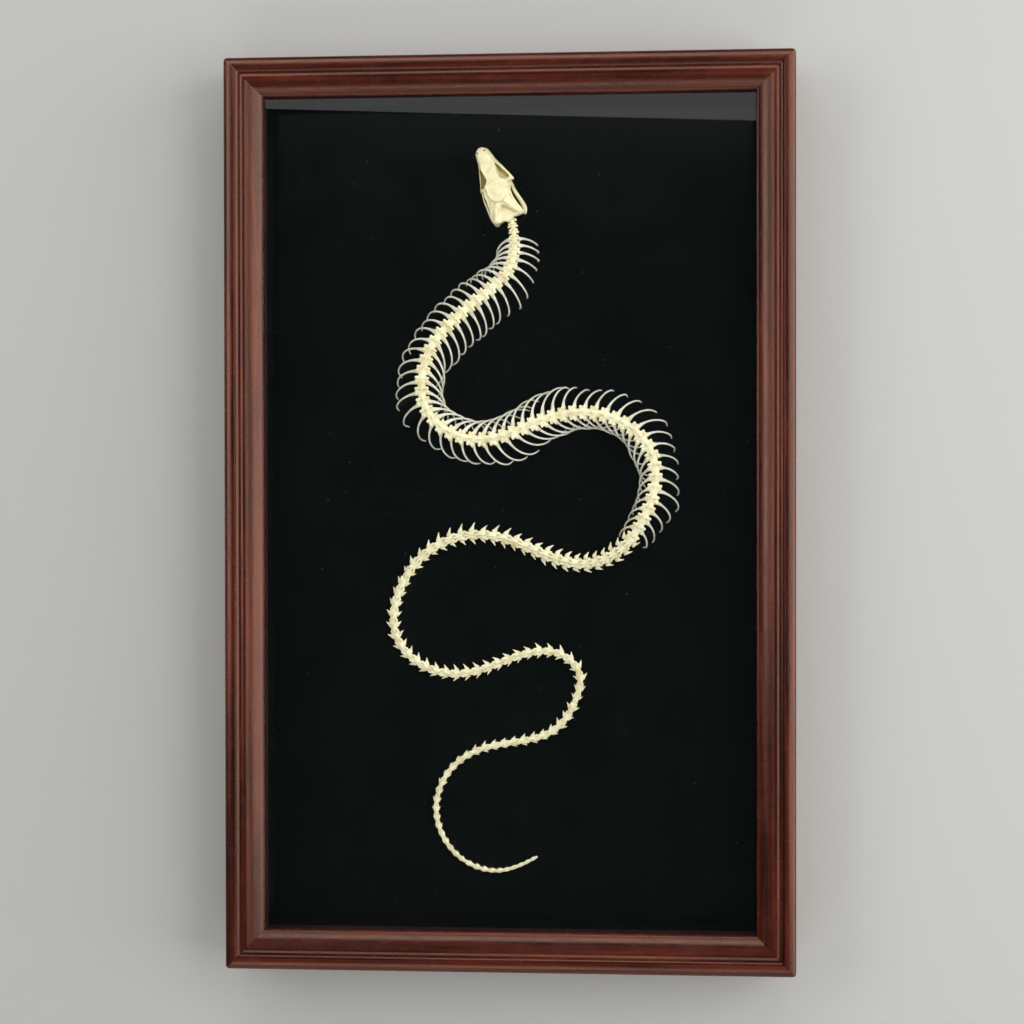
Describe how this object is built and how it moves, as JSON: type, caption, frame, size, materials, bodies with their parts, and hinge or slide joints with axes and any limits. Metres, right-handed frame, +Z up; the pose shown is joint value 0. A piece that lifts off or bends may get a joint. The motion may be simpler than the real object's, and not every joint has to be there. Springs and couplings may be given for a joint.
{
  "type": "legless lizard skeleton",
  "caption": "Skeleton of a legless lizard, skull to tail tip, laid in winding curves on a black board inside a glazed moulded wooden wall case.",
  "frame": {"origin": "middle of the flat back of the top rail, where the case touches the wall", "axes": "+Z up along the long side of the hanging case, +Y out of its back into the wall, +X to the right of someone who faces its glass"},
  "size_m": [0.344, 0.045, 0.552],
  "materials": {
    "mahogany": "dark red-brown mahogany, glossy lacquer",
    "lining": "dark stained, satin",
    "glass": "clear flat pane",
    "black_board": "near-black, slight sheen",
    "hardboard": "bare brown hardboard",
    "steel": "dull plated steel",
    "bone": "dry ivory bone, satin"
  },
  "bodies": {
    "root": {"frame_left": "mahogany", "frame_right": "mahogany", "frame_top": "mahogany", "frame_bottom": "mahogany", "spacer_left": "lining", "spacer_right": "lining", "spacer_top": "lining", "spacer_bottom": "lining", "glass": "glass", "mount_board": "black_board", "back_panel": "hardboard", "point_left_1": "steel", "point_left_2": "steel", "point_right_1": "steel", "point_right_2": "steel", "point_top_1": "steel", "point_top_2": "steel", "point_bottom_1": "steel", "point_bottom_2": "steel", "hanger_left": "steel", "hanger_right": "steel", "skull": "bone", "lower_jaw": "bone", "neck": "bone", "trunk_1_left": "bone", "trunk_1_right": "bone", "trunk_2_left": "bone", "trunk_2_right": "bone", "trunk_3_left": "bone", "trunk_3_right": "bone", "trunk_4_left": "bone", "trunk_4_right": "bone", "cloaca": "bone", "tail_1": "bone", "tail_2": "bone", "tail_3": "bone", "tail_4": "bone"}
  },
  "joints": []
}
